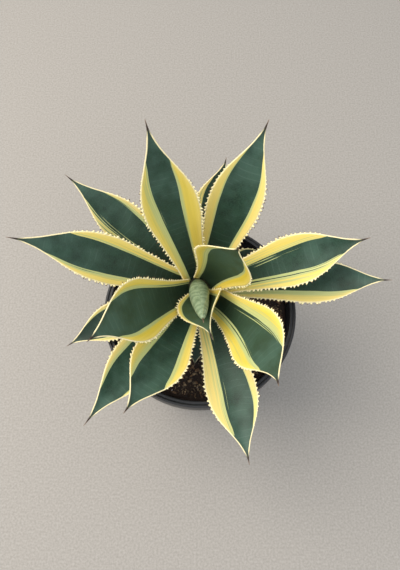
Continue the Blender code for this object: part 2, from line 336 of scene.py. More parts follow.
ringNumber = bladeNode("Math", {0: ringRound, 1: ringSteps}, operation="FLOORED_MODULO")
underFrom = bladeNode("Math", {0: bladeIn["Columns"], 1: 0.5}, operation="SUBTRACT")
under = bladeNode("Math", {0: ringNumber, 1: underFrom}, operation="GREATER_THAN")
underShift = bladeNode("Math", {0: under, 1: bladeIn["Columns"]}, operation="MULTIPLY")
columnNumber = bladeNode("Math", {0: ringNumber, 1: underShift}, operation="SUBTRACT")
lastColumn = bladeNode("Math", {0: bladeIn["Columns"], 1: 1}, operation="SUBTRACT")
columnShare = bladeNode("Math", {0: columnNumber, 1: lastColumn}, operation="DIVIDE")
acrossTop = bladeNode("Math", {0: columnShare, 1: 2, 2: -1}, operation="MULTIPLY_ADD")
wayRound = bladeNode("Math", {0: under, 1: -2, 2: 1}, operation="MULTIPLY_ADD")
across = bladeNode("Math", {0: acrossTop, 1: wayRound}, operation="MULTIPLY")
sampled = {}
for label in ("place", "side", "up", "half", "gutter", "keel", "edge", "share"):
    kind = "FLOAT_VECTOR" if label in ("place", "side", "up") else "FLOAT"
    named = bladeNode("InputNamedAttribute", {"Name": label + "Row"}, data_type=kind)
    sampled[label] = bladeNode("SampleIndex", {"Geometry": bladeIn["Geometry"], "Value": named,
                                               "Index": rowNumber}, data_type=kind)
rolled = bladeNode("Math", {0: sampled["gutter"], 1: across}, operation="MULTIPLY")
rolledSine = bladeNode("Math", {0: rolled}, operation="SINE")
rolledCosine = bladeNode("Math", {0: rolled}, operation="COSINE")
rollRadius = bladeNode("Math", {0: sampled["half"], 1: sampled["gutter"]}, operation="DIVIDE")
sideways = bladeNode("Math", {0: rollRadius, 1: rolledSine}, operation="MULTIPLY")
drop = bladeNode("Math", {0: 1, 1: rolledCosine}, operation="SUBTRACT")
lift = bladeNode("Math", {0: rollRadius, 1: drop}, operation="MULTIPLY")
acrossSquare = bladeNode("Math", {0: across, 1: across}, operation="MULTIPLY")
middleness = bladeNode("Math", {0: 1, 1: acrossSquare}, operation="SUBTRACT")
keelExtra = bladeNode("Math", {0: sampled["keel"], 1: sampled["edge"]}, operation="SUBTRACT")
depth = bladeNode("Math", {0: keelExtra, 1: middleness, 2: sampled["edge"]},
                  operation="MULTIPLY_ADD")
depthUnder = bladeNode("Math", {0: depth, 1: under}, operation="MULTIPLY")
depthSide = bladeNode("Math", {0: depthUnder, 1: rolledSine, 2: sideways}, operation="MULTIPLY_ADD")
depthUp = bladeNode("Math", {0: depthUnder, 1: rolledCosine}, operation="MULTIPLY")
netUp = bladeNode("Math", {0: lift, 1: depthUp}, operation="SUBTRACT")
sidePart = bladeNode("VectorMath", {0: sampled["side"], "Scale": depthSide}, operation="SCALE")
upPart = bladeNode("VectorMath", {0: sampled["up"], "Scale": netUp}, operation="SCALE")
section = bladeNode("VectorMath", {0: sidePart, 1: upPart}, operation="ADD")
bladePlace = bladeNode("VectorMath", {0: sampled["place"], 1: section}, operation="ADD")
blade = bladeNode("StoreNamedAttribute", {"Geometry": sleeve, "Name": "alongShare",
                                          "Value": sampled["share"]})
blade = bladeNode("StoreNamedAttribute", {"Geometry": blade, "Name": "acrossShare",
                                          "Value": across})
blade = bladeNode("StoreNamedAttribute", {"Geometry": blade, "Name": "underside", "Value": under})
blade = bladeNode("SetPosition", {"Geometry": blade, "Position": bladePlace})
blade = bladeNode("MergeByDistance", {"Geometry": blade, "Distance": bladeIn["Weld Distance"]})
endGeometryTree(bladeTree, blade, bladeIn["Material"])
print("blade tree ready")

# tooth tree: walks the margins and sets a small hooked cone on each step
toothTree, toothNode, toothIn = newGeometryTree("marginalTeeth", (
    ("Spacing", "Float", 0.005), ("Height", "Float", 0.002), ("Base Radius", "Float", 0.0017),
    ("Thickness Share", "Float", 0.42), ("Hook", "Float", 0.5), ("Seed", "Int", 1),
    ("Material", "Material", None)))
margins = toothNode("MeshToCurve", {"Mesh": toothIn["Geometry"]})
marks = toothNode("CurveToPoints", {"Curve": margins, "Length": toothIn["Spacing"]}, mode="LENGTH")
jitterMost, jitterLeast = (toothNode("Math", {0: toothIn["Spacing"], 1: share},
                                     operation="MULTIPLY") for share in (0.24, -0.24))
jitter = toothNode("RandomValue", {"Min": jitterLeast, "Max": jitterMost, "Seed": toothIn["Seed"]})
jitterStep = toothNode("VectorMath", {0: marks.outputs["Tangent"], "Scale": jitter},
                       operation="SCALE")
shifted = toothNode("SetPosition", {"Geometry": marks.outputs["Points"], "Offset": jitterStep})
toneSeed, hookSeed, sizeSeed = (toothNode("Math", {0: toothIn["Seed"], 1: step}, operation="ADD")
                                for step in (17, 34, 51))
toothShade = toothNode("RandomValue", {"Min": 0.0, "Max": 1.0, "Seed": toneSeed})
shaded = toothNode("StoreNamedAttribute", {"Geometry": shifted, "Name": "toothShade",
                                           "Value": toothShade})
spike = toothNode("MeshCone", {"Vertices": 6, "Side Segments": 4, "Radius Top": 0.0,
                               "Radius Bottom": 1.0, "Depth": 1.0})
spikeSpot = toothNode("SeparateXYZ", {0: toothNode("InputPosition")})
spikeHigh = spikeSpot.outputs["Z"]
slimmer = toothNode("Math", {0: spikeHigh, 1: -0.2, 2: 1.0}, operation="MULTIPLY_ADD")
highSquare = toothNode("Math", {0: spikeHigh, 1: spikeHigh}, operation="MULTIPLY")
baseWide = toothNode("Math", {0: spikeSpot.outputs["X"], 1: toothIn["Base Radius"]},
                     operation="MULTIPLY")
baseSlim = toothNode("Math", {0: baseWide, 1: slimmer}, operation="MULTIPLY")
hookFar = toothNode("Math", {0: toothIn["Hook"], 1: toothIn["Height"]}, operation="MULTIPLY")
spikeX = toothNode("Math", {0: highSquare, 1: hookFar, 2: baseSlim}, operation="MULTIPLY_ADD")
thick = toothNode("Math", {0: toothIn["Base Radius"], 1: toothIn["Thickness Share"]},
                  operation="MULTIPLY")
spikeY = toothNode("Math", {0: spikeSpot.outputs["Y"], 1: thick}, operation="MULTIPLY")
spikeZ = toothNode("Math", {0: spikeHigh, 1: toothIn["Height"]}, operation="MULTIPLY")
spikePlace = toothNode("CombineXYZ", {0: spikeX, 1: spikeY, 2: spikeZ})
spike = toothNode("StoreNamedAttribute", {"Geometry": spike.outputs["Mesh"], "Name": "toothTip",
                                          "Value": spikeHigh})
spike = toothNode("SetPosition", {"Geometry": spike, "Position": spikePlace})
outward = toothNode("InputNamedAttribute", {"Name": "outward"}, data_type="FLOAT_VECTOR")
forward = toothNode("InputNamedAttribute", {"Name": "forward"}, data_type="FLOAT_VECTOR")
grow = toothNode("InputNamedAttribute", {"Name": "grow"})
flip = toothNode("RandomValue", {"Min": -1.0, "Max": 0.75, "Seed": hookSeed})
flipSign = toothNode("Math", {0: flip}, operation="SIGN")
hookWay = toothNode("VectorMath", {0: forward, "Scale": flipSign}, operation="SCALE")
stand = toothNode("AxesToRotation", {"Primary Axis": outward, "Secondary Axis": hookWay},
                  primary_axis="Z", secondary_axis="X")
sizeSpread = toothNode("RandomValue", {"Min": 0.7, "Max": 1.15, "Seed": sizeSeed})
toothSize = toothNode("Math", {0: sizeSpread, 1: grow}, operation="MULTIPLY")
teethSet = toothNode("InstanceOnPoints", {"Points": shaded, "Instance": spike, "Rotation": stand,
                                          "Scale": toothSize})
endGeometryTree(toothTree, teethSet, toothIn["Material"])
print("tooth tree ready")

# leaf skin: living leaf with a waxy cuticle, grown; half-matt, blue-grey bloom over green, with a
# painted bluish sheen and painted shade at the foot
leafColours = {
    "greenDeep": "#0d2317", "greenMid": "#193727", "greenBloom": "#334f43", "greenYoung": "#40502a",
    # the foot green is painted shade; the sheen green is partly wax bloom and partly a painted sky
    # reflection
    "greenFoot": "#101f17", "greenSheen": "#446154",
    "yellowDeep": "#cab438", "yellow": "#dac143", "yellowPale": "#e2cb6c", "cream": "#e0cf90",
    "rim": "#ecdfb0",
    "halfGreen": "#8f9e58", "greyGreen": "#bcc898", "print": "#7c9085",
    "tipDark": "#16221a", "horn": "#33261e", "hornTip": "#7d6a5a",
}
leafSkin, skinNode, skinShader = newMaterial("agaveLeafCuticle")
placeMm = skinNode("Attribute", attribute_name="leafPlace").outputs["Vector"]
placeParts = skinNode("SeparateXYZ", {0: placeMm})
bandParts = skinNode("SeparateXYZ",
                     {0: skinNode("Attribute", attribute_name="leafBand").outputs["Vector"]})
stateParts = skinNode("SeparateXYZ",
                      {0: skinNode("Attribute", attribute_name="leafState").outputs["Vector"]})
underFace = skinNode("Attribute", attribute_name="underside").outputs["Fac"]
bandMm, halfGreenMm, streaky = (bandParts.outputs[axis] for axis in "XYZ")
edgeMm, alongLeaf, age = (stateParts.outputs[axis] for axis in "XYZ")
# veins run along the coloured margin, about 1 mm apart; the two halves of a leaf differ
handSide = skinNode("Math", {0: placeParts.outputs["X"], 1: 0}, operation="GREATER_THAN")
veinAcross = skinNode("Math", {0: handSide, 1: 57, 2: bandMm}, operation="MULTIPLY_ADD")
veinAlong = skinNode("Math", {0: placeParts.outputs["Y"], 1: 0.009}, operation="MULTIPLY")
veinSpace = skinNode("CombineXYZ", {0: veinAcross, 1: veinAlong, 2: placeParts.outputs["Z"]})
veinFine = skinNode("TexNoise", {"Vector": veinSpace, "Scale": 1.0, "Detail": 2.0})
veinWide = skinNode("TexNoise", {"Vector": veinSpace, "Scale": 0.42, "Detail": 1.0})
# streaks move the edge of the green by up to 6 mm along whole veins
wideOff = skinNode("Math", {0: veinWide, 1: 0.5}, operation="SUBTRACT")
wideFar = skinNode("Math", {0: streaky, 1: 26}, operation="MULTIPLY")
fineOff = skinNode("Math", {0: veinFine, 1: 0.5}, operation="SUBTRACT")
fineFar = skinNode("Math", {0: streaky, 1: 12, 2: 1.2}, operation="MULTIPLY_ADD")
wobbleWide = skinNode("Math", {0: wideOff, 1: wideFar}, operation="MULTIPLY")
wobble = skinNode("Math", {0: fineOff, 1: fineFar, 2: wobbleWide}, operation="MULTIPLY_ADD")
greenEdge = skinNode("Math", {0: bandMm, 1: wobble}, operation="ADD")
greenMask = skinNode("MapRange", {"Value": greenEdge, "From Min": 0.25, "From Max": -0.25},
                     interpolation_type="SMOOTHSTEP")
halfPlace = skinNode("Math", {0: fineOff, 1: 3.0, 2: greenEdge}, operation="MULTIPLY_ADD")
halfFar = skinNode("Math", {0: halfGreenMm, 1: 1.45, 2: 0.8}, operation="MULTIPLY_ADD")
halfNear = skinNode("Math", {0: halfGreenMm, 1: 0.25}, operation="MULTIPLY")
halfMask = skinNode("MapRange", {"Value": halfPlace, "From Min": halfFar, "From Max": halfNear,
                                 "To Max": 0.9}, interpolation_type="SMOOTHSTEP")
# yellow margin: deep yellow inside, creamier to the edge and with age, faint lines along the veins
creamier = skinNode("MapRange", {"Value": edgeMm, "From Min": 7, "From Max": 0.6, "To Max": 0.85})
creamVein = skinNode("Math", {0: fineOff, 1: 0.9, 2: creamier}, operation="MULTIPLY_ADD")
yellowInner = skinNode("Mix", {"Factor": veinWide, "A": leafColours["yellowDeep"],
                               "B": leafColours["yellow"]})
yellow = skinNode("Mix", {"Factor": creamVein, "A": yellowInner, "B": leafColours["yellowPale"]})
creamAge = skinNode("MapRange", {"Value": age, "From Min": 0.5, "From Max": 0.9, "To Max": 0.55})
yellowAged = skinNode("Mix", {"Factor": creamAge, "A": yellow, "B": leafColours["cream"]})
halfGreen = skinNode("Mix", {"Factor": veinFine, "A": leafColours["halfGreen"],
                             "B": leafColours["greyGreen"]})
bandColour = skinNode("Mix", {"Factor": halfMask, "A": yellowAged, "B": halfGreen})
# green: blotches about 12 mm, cross wrinkles about 1 mm, bloom in broad patches
blotch = skinNode("TexNoise", {"Vector": placeMm, "Scale": 0.085, "Detail": 4.0, "Roughness": 0.6})
wrinkleSpace = skinNode("VectorMath", {0: placeMm, 1: (0.5, 0.95, 1)}, operation="MULTIPLY")
wrinkle = skinNode("TexNoise", {"Vector": wrinkleSpace, "Scale": 1.0, "Detail": 3.0,
                                "Roughness": 0.65})
blotchRange = skinNode("MapRange", {"Value": blotch, "From Min": 0.3, "From Max": 0.7})
youth = skinNode("MapRange", {"Value": age, "From Min": 0.5, "From Max": 0.0, "To Max": 0.75})
bloomRange = skinNode("MapRange", {"Value": wrinkle, "From Min": 0.36, "From Max": 0.70,
                                   "To Max": 0.55})
# painted sheen: a bluish tone on the outer half, partly wax bloom and partly a painted sky
# reflection; painted shade keeps the foot nearly black-green
sheenAlong = skinNode("MapRange", {"Value": alongLeaf, "From Min": 0.25, "From Max": 0.75,
                                   "To Max": 0.5})
sheenPatch = skinNode("TexNoise", {"Vector": placeMm, "Scale": 0.045, "Detail": 2.0})
sheenRange = skinNode("MapRange", {"Value": sheenPatch, "From Min": 0.36, "From Max": 0.62})
bloomAndPaintedSheenMask = skinNode("Math", {0: sheenAlong, 1: sheenRange}, operation="MULTIPLY")
footShadeMask = skinNode("MapRange", {"Value": alongLeaf, "From Min": 0.42, "From Max": 0.10,
                                 "To Max": 0.6})
# painted shade: the oldest leaves lie lowest, under the others, and are darkened
oldLeafShadeMask = skinNode("MapRange", {"Value": age, "From Min": 0.92, "From Max": 1.0, "To Max": 0.45})
paintedShadeMask = skinNode("Math", {0: footShadeMask, 1: oldLeafShadeMask}, operation="MAXIMUM")
# prints that the neighbours left in the bud: bowed lines about 7 mm apart
bowSquare = skinNode("Math", {0: placeParts.outputs["X"], 1: placeParts.outputs["X"]},
                     operation="MULTIPLY")
bowed = skinNode("Math", {0: bowSquare, 1: -0.012, 2: placeParts.outputs["Y"]},
                 operation="MULTIPLY_ADD")
printSpace = skinNode("CombineXYZ", {0: placeParts.outputs["X"], 1: bowed,
                                     2: placeParts.outputs["Z"]})
printWave = skinNode("TexWave", {"Vector": printSpace, "Scale": 0.045, "Distortion": 3.0,
                                 "Detail": 1.0, "Detail Scale": 0.6}, bands_direction="Y")
printLine = skinNode("MapRange", {"Value": printWave.outputs["Fac"], "From Min": 0.90,
                                  "From Max": 1.0})
printPatch = skinNode("MapRange", {"Value": sheenPatch, "From Min": 0.45, "From Max": 0.62,
                                   "To Max": 0.08})
printMask = skinNode("Math", {0: printLine, 1: printPatch}, operation="MULTIPLY")
underPale = skinNode("Math", {0: underFace, 1: 0.22}, operation="MULTIPLY")
green = skinNode("Mix", {"Factor": blotchRange, "A": leafColours["greenDeep"],
                         "B": leafColours["greenMid"]})
# over the green go youth, bloom, a painted sheen, painted shade at the foot and on the oldest
# leaves, prints and a paler underside
for mask, over in ((youth, "greenYoung"), (bloomRange, "greenBloom"), (bloomAndPaintedSheenMask, "greenSheen"),
                   (paintedShadeMask, "greenFoot"), (printMask, "print"), (underPale, "print")):
    green = skinNode("Mix", {"Factor": mask, "A": green, "B": leafColours[over]})
leafColour = skinNode("Mix", {"Factor": greenMask, "A": bandColour, "B": green})
tipDark = skinNode("MapRange", {"Value": alongLeaf, "From Min": 0.90, "From Max": 0.95})
# horny cream rim, under 1 mm wide
rimNoise = skinNode("Math", {0: fineOff, 1: 0.8, 2: edgeMm}, operation="MULTIPLY_ADD")
rimLine = skinNode("MapRange", {"Value": rimNoise, "From Min": 1.05, "From Max": 0.55})
rimShown = skinNode("Attribute", attribute_name="rimShown").outputs["Fac"]
rimMask = skinNode("Math", {0: rimLine, 1: rimShown}, operation="MULTIPLY")
hornMask = skinNode("MapRange", {"Value": alongLeaf, "From Min": 0.944, "From Max": 0.958})
hornPale = skinNode("MapRange", {"Value": alongLeaf, "From Min": 0.968, "From Max": 0.995})
horn = skinNode("Mix", {"Factor": hornPale, "A": leafColours["horn"], "B": leafColours["hornTip"]})
for mask, over in ((tipDark, leafColours["tipDark"]), (rimMask, leafColours["rim"]),
                   (hornMask, horn)):
    leafColour = skinNode("Mix", {"Factor": mask, "A": leafColour, "B": over})
gloss = skinNode("MapRange", {"Value": wrinkle, "From Min": 0.3, "From Max": 0.7, "To Min": 0.44,
                              "To Max": 0.60})
relief = skinNode("Bump", {"Height": wrinkle, "Strength": 0.35, "Distance": 0.00035})
setSockets(skinShader, {"Base Color": leafColour, "Roughness": gloss, "Normal": relief,
                        "IOR": 1.42})

# teeth: horn, grown; cream at the foot, chestnut at the point
toothColours = {"foot": "#f1e6b2", "point": "#4f301c"}
toothHorn, hornNode, hornShader = newMaterial("marginalToothHorn")
toothTip = hornNode("Attribute", attribute_name="toothTip").outputs["Fac"]
toothTone = hornNode("Attribute", attribute_name="toothShade").outputs["Fac"]
brownFrom = hornNode("Math", {0: toothTone, 1: 0.35, 2: 0.30}, operation="MULTIPLY_ADD")
brownTo = hornNode("Math", {0: brownFrom, 1: 0.25}, operation="ADD")
brownMask = hornNode("MapRange", {"Value": toothTip, "From Min": brownFrom, "From Max": brownTo})
toothColour = hornNode("Mix", {"Factor": brownMask, "A": toothColours["foot"],
                               "B": toothColours["point"]})
setSockets(hornShader, {"Base Color": toothColour, "Roughness": 0.4, "IOR": 1.54})


def marginRails(rows):
    # both margins as open lines, with the way out of the blade at each point
    points, edges, outwards, forwards, grows = [], [], [], [], []
    for hand in (-1, 1):
        start = len(points)
        for row, after in zip(rows, rows[1:]):
            if not toothRule["from"] < row["t"] < toothRule["to"]:
                continue
            turn = row["gutter"]
            side = row["side"] * hand
            radius = row["half"] / turn
            out = side * cos(turn) + row["up"] * sin(turn)
            normal = row["up"] * cos(turn) - side * sin(turn)
            point = row["place"] + side * radius * sin(turn) + row["up"] * radius * (1 - cos(turn))
            points.append(point - normal * row["edge"] / 2 - out * toothRule["sunk"] * mm)
            outwards.append(out)
            forwards.append((after["place"] - row["place"]).normalized())
            middle = (row["t"] - toothRule["from"]) / (toothRule["to"] - toothRule["from"])
            (foot, footRate), (tip, tipRate) = toothRule["footGrow"], toothRule["tipGrow"]
            grows.append(min(1, foot + footRate * middle, tip + tipRate * (1 - middle)))
        edges += [(at, at + 1) for at in range(start, len(points) - 1)]
    mesh = bpy.data.meshes.new("margins")
    mesh.from_pydata(points, edges, [])
    storeValues(mesh, "outward", outwards, "FLOAT_VECTOR")
    storeValues(mesh, "forward", forwards, "FLOAT_VECTOR")
    storeValues(mesh, "grow", grows)
    return mesh


def paintLeaf(mesh, leaf, entry, number):
    # where each point lies in millimetres, how far into the coloured margin, and the leaf's age
    s, u = readValues(mesh, "alongShare"), readValues(mesh, "acrossShare")
    t = s ** leaf["fullness"]
    half = np.array([leaf["width"] / 2 / mm * eased(leafRule["outline"], x) for x in t])
    bands = []
    for band, ends, halfGreen, streaks in (entry["left"], entry["right"]):
        taper = np.array([eased(leafRule["marginTaper"], x / ends) for x in t])
        wide = half * band * taper
        beyond = np.clip(t / ends - paintRule["streakStop"], 0, paintRule["streakRun"])
        fade = np.clip((paintRule["rimEnd"] - t) / paintRule["rimFade"], 0, 1)
        bands.append((wide - beyond * paintRule["streakPull"], wide * halfGreen, streaks * taper,
                      min(1, band / paintRule["rimFullBand"]) * fade))
    right = u > 0
    wide, pale, streaks, rim = (np.where(right, b, a) for a, b in zip(*bands))
    edge = (1 - np.abs(u)) * half
    apart = np.full(len(s), number * paintRule["leafGap"])
    storeValues(mesh, "leafPlace", np.stack([u * half, s * leaf["length"] / mm, apart], 1),
                "FLOAT_VECTOR")
    storeValues(mesh, "leafBand", np.stack([wide - edge, pale, streaks], 1), "FLOAT_VECTOR")
    storeValues(mesh, "rimShown", rim)
    age = np.full(len(s), entry["age"])
    storeValues(mesh, "leafState", np.stack([edge, t, age], 1), "FLOAT_VECTOR")
    for name in ("alongShare", "acrossShare"):
        mesh.attributes.remove(mesh.attributes[name])


for number, (name, entry) in enumerate(leafTable.items()):
    leaf = readLeaf(number, entry)
    rows = leafRows(leaf)
    closed = [closedRow(rows[0])] + rows + [closedRow(rows[-1])]
    startMesh = bpy.data.meshes.new(name)
    startMesh.from_pydata([row["place"] for row in closed], [], [])
    for label in ("place", "side", "up"):
        storeValues(startMesh, label + "Row", [row[label] for row in closed], "FLOAT_VECTOR")
    for label in ("half", "gutter", "keel", "edge"):
        storeValues(startMesh, label + "Row", [row[label] for row in closed])
    storeValues(startMesh, "shareRow", [row["s"] for row in closed])
    blade = grownMesh(name + "_blade", startMesh, bladeTree, {
        "Rows": len(closed), "Columns": leafRule["columns"], "Weld Distance": 1e-6,
        "Material": leafSkin})
    paintLeaf(blade.data, leaf, entry, number)
    young = number < toothRule["youngLeaves"]
    teeth = grownMesh(name + "_teeth", marginRails(rows), toothTree, {
        "Spacing": toothRule["youngSpacing" if young else "spacing"],
        "Height": toothRule["height"], "Base Radius": toothRule["base"],
        "Thickness Share": toothRule["thickness"], "Hook": toothRule["hook"],
        "Seed": toothRule["seed"] + number, "Material": toothHorn})
    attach(blade, "root")
    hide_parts(name)
    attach(teeth, "root")
print("leaves ready:", len(leafTable))

# central spear: young leaves still rolled tight, pressed into each other's prints
spearRule = {
    "foot": Vector((-0.0027, 0.0057, 0.0246)), "azimuth": -81, "slope": 68,
    "length": 0.107, "radius": 0.0110, "rows": 120, "sides": 56,
    "outline": ((0, 0.52), (0.06, 0.74), (0.14, 0.90), (0.24, 1.0), (0.36, 0.98), (0.52, 0.84),
                (0.68, 0.62), (0.82, 0.36), (0.885, 0.17), (0.915, 0.08), (0.96, 0.055),
                (1, 0.012)),
    "seamStep": 0.0009,          # how far the outermost leaf's margin stands off the roll
    "seamTurn": 0.9, "seamWind": 2.2,        # radians: where the margin starts, how far it winds
    "thinBelow": 0.006,          # radii under this flatten the margin's step
    "seamEnd": 0.86, "offSeam": 9,           # past this share no seam shows
}
spearColours = {"skin": "#74896a", "pale": "#a2b394", "dark": "#4e6345", "foot": "#3c4e30",
                "seam": "#a9b27c", "horn": "#4a382c", "hornTip": "#7d6a5a"}
# spear skin: cuticle of the rolled leaves, grown; satin grey-green, pale prints and dark lines
spearSkin, spearNode, spearShader = newMaterial("rolledLeafCuticle")
spearSpot = spearNode("Attribute", attribute_name="spearPlace").outputs["Vector"]
spearParts = spearNode("SeparateXYZ", {0: spearSpot})
# bars: prints of earlier margins, bowed towards the tip and about 10 mm apart
spearAlong = spearParts.outputs["Y"]
spearBow = spearNode("Math", {0: spearParts.outputs["X"], 1: spearParts.outputs["X"]},
                     operation="MULTIPLY")
spearBowed = spearNode("Math", {0: spearBow, 1: -0.010, 2: spearAlong}, operation="MULTIPLY_ADD")
barSpace = spearNode("CombineXYZ", {0: spearParts.outputs["X"], 1: spearBowed, 2: 3.0})
barWave = spearNode("TexWave", {"Vector": barSpace, "Scale": 0.031, "Distortion": 7.0,
                                "Detail": 3.0, "Detail Scale": 2.2}, bands_direction="Y",
                                wave_profile="SIN")
barPale = spearNode("MapRange", {"Value": barWave.outputs["Fac"], "From Min": 0.62,
                                 "From Max": 1.0, "To Max": 0.34})
barDark = spearNode("MapRange", {"Value": barWave.outputs["Fac"], "From Min": 0.16,
                                 "From Max": 0.02, "To Max": 0.5})
spearLong = spearNode("VectorMath", {0: spearSpot, 1: (1, 0.08, 1)}, operation="MULTIPLY")
spearFine = spearNode("TexNoise", {"Vector": spearLong, "Scale": 0.5, "Detail": 3.0})
spearFoot = spearNode("MapRange", {"Value": spearAlong, "From Min": 30, "From Max": 6})
seamMask = spearNode("MapRange", {"Value": spearParts.outputs["Z"], "From Min": 0.9,
                                  "From Max": 0.2})
spearColour = spearNode("Mix", {"Factor": spearFine, "A": spearColours["dark"],
                                "B": spearColours["pale"]})
for mask, over in ((0.35, "skin"), (barPale, "pale"), (barDark, "dark"), (spearFoot, "foot"),
                   (seamMask, "seam")):
    spearColour = spearNode("Mix", {"Factor": mask, "A": spearColour, "B": spearColours[over]})
spearHornMask = spearNode("MapRange", {"Value": spearAlong, "From Min": 95.5, "From Max": 98.5})
spearHornPale = spearNode("MapRange", {"Value": spearAlong, "From Min": 100, "From Max": 106})
spearHorn = spearNode("Mix", {"Factor": spearHornPale, "A": spearColours["horn"],
                              "B": spearColours["hornTip"]})
spearColour = spearNode("Mix", {"Factor": spearHornMask, "A": spearColour, "B": spearHorn})
spearRelief = spearNode("Bump", {"Height": barWave.outputs["Fac"], "Strength": 0.2,
                                 "Distance": 0.0004})
setSockets(spearShader, {"Base Color": spearColour, "Normal": spearRelief, "Roughness": 0.5,
                         "IOR": 1.45})


def buildSpear():
    rule = spearRule
    turned = (rosetteMatrix @ Matrix.Translation(rule["foot"])
              @ Matrix.Rotation(radians(rule["azimuth"]), 4, "Z")
              @ Matrix.Rotation(radians(90 - rule["slope"]), 4, "Y"))
    points, places, faces = [], [], []
    for row in range(rule["rows"] + 1):
        s = row / rule["rows"]
        radius = rule["radius"] * eased(rule["outline"], s)
        seamTurn = rule["seamTurn"] + rule["seamWind"] * s
        flat = min(1, radius / rule["thinBelow"])
        for step in range(rule["sides"]):
            turn = 2 * pi * step / rule["sides"]
            pastSeam = (turn - seamTurn) % (2 * pi)
            stand = rule["seamStep"] * (1 - pastSeam / (2 * pi)) * flat
            r = radius - rule["seamStep"] * 0.5 * flat + stand
            points.append(turned @ Vector((r * cos(turn), r * sin(turn), rule["length"] * s)))
            arc = ((turn + pi) % (2 * pi) - pi) * radius / mm
            fromSeam = pastSeam * radius / mm if s < rule["seamEnd"] else rule["offSeam"]
            places.append((arc, s * rule["length"] / mm, fromSeam))
    for row in range(rule["rows"]):
        for step in range(rule["sides"]):
            here = row * rule["sides"] + step
            side = row * rule["sides"] + (step + 1) % rule["sides"]
            faces.append((here, side, side + rule["sides"], here + rule["sides"]))
    last = rule["rows"] * rule["sides"]
    faces += [tuple(range(rule["sides"])), tuple(range(last, last + rule["sides"]))]
    piece = plainPiece("central_spear_roll", points, faces, spearSkin)
    storeValues(piece.data, "spearPlace", places, "FLOAT_VECTOR")
    return piece


spear = buildSpear()
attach(spear, "root")
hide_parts("central_spear")
print("spear ready")

# stem: pithy agave stem, grown; short, dull brown, ringed by old leaf scars
stemColours = {"pith": "#3b3f26", "scar": "#1f2015"}
stemSkin, stemNode, stemShader = newMaterial("fibrousStem")
stemSpace = stemNode("TexCoord").outputs["Object"]
stemBands = stemNode("TexWave", {"Vector": stemSpace, "Scale": 60.0, "Distortion": 3.0,
                                 "Detail": 3.0}, bands_direction="Z")
stemFibre = stemNode("TexNoise", {"Vector": stemSpace, "Scale": 400.0, "Detail": 4.0})
stemMix = stemNode("Math", {0: stemBands.outputs["Fac"], 1: stemFibre}, operation="MULTIPLY")
stemColour = stemNode("Mix", {"Factor": stemMix, "A": stemColours["scar"],
                              "B": stemColours["pith"]})
stemRelief = stemNode("Bump", {"Height": stemMix, "Strength": 0.6, "Distance": 0.001})
setSockets(stemShader, {"Base Color": stemColour, "Normal": stemRelief, "Roughness": 0.85})
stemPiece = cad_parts["stem"]
stemPiece.data.materials.clear()
stemPiece.data.materials.append(stemSkin)

# pot: polypropylene, injection moulded; satin, faint flow lines, scuffed rim
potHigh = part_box("pot")[1]
potRule = {
    "height": potHigh.z, "rimRadius": potHigh.x, "rimWidth": 0.0075, "skirtDepth": 0.028,
    "skirtWall": 0.0018, "footRadius": 0.094, "wall": 0.0016, "floor": 0.0025,
    "holes": 6, "holeRadius": 0.007, "holeCircle": 0.062, "sides": 192,
}
potColours = {"plastic": "#131518", "sheen": "#1b1e22", "dust": "#5c564c"}
potSkin, potNode, potShader = newMaterial("mouldedPolypropylene")
potSpace = potNode("TexCoord").outputs["Object"]
potLong = potNode("VectorMath", {0: potSpace, 1: (1, 1, 6)}, operation="MULTIPLY")
potFlow = potNode("TexNoise", {"Vector": potLong, "Scale": 22.0, "Detail": 3.0})
potGrain = potNode("TexNoise", {"Vector": potSpace, "Scale": 900.0, "Detail": 2.0})
potBase = potNode("Mix", {"Factor": potFlow, "A": potColours["plastic"], "B": potColours["sheen"]})
dustSpread = potNode("TexNoise", {"Vector": potSpace, "Scale": 55.0, "Detail": 5.0,
                                  "Roughness": 0.7})
dustMask = potNode("MapRange", {"Value": dustSpread, "From Min": 0.56, "From Max": 0.78,
                                "To Max": 0.16})
potColour = potNode("Mix", {"Factor": dustMask, "A": potBase, "B": potColours["dust"]})
potGloss = potNode("MapRange", {"Value": potFlow, "From Min": 0.3, "From Max": 0.7, "To Min": 0.36,
                                "To Max": 0.52})
potRelief = potNode("Bump", {"Height": potGrain, "Strength": 0.15, "Distance": 0.0003})
setSockets(potShader, {"Base Color": potColour, "Roughness": potGloss, "Normal": potRelief,
                       "IOR": 1.49})


def potRadius(z):
    top = potRule["rimRadius"] - potRule["rimWidth"] + potRule["wall"]
    return potRule["footRadius"] + (top - potRule["footRadius"]) * z / potRule["height"]


def roundedCorner(before, corner, after, radius, steps=4):
    # swap a sharp corner of a section for a short arc
    corner, before, after = Vector(corner), Vector(before), Vector(after)
    start = corner + (before - corner).normalized() * radius
    end = corner + (after - corner).normalized() * radius
    return [tuple((1 - k) ** 2 * start + 2 * k * (1 - k) * corner + k ** 2 * end)
            for k in (step / steps for step in range(steps + 1))]


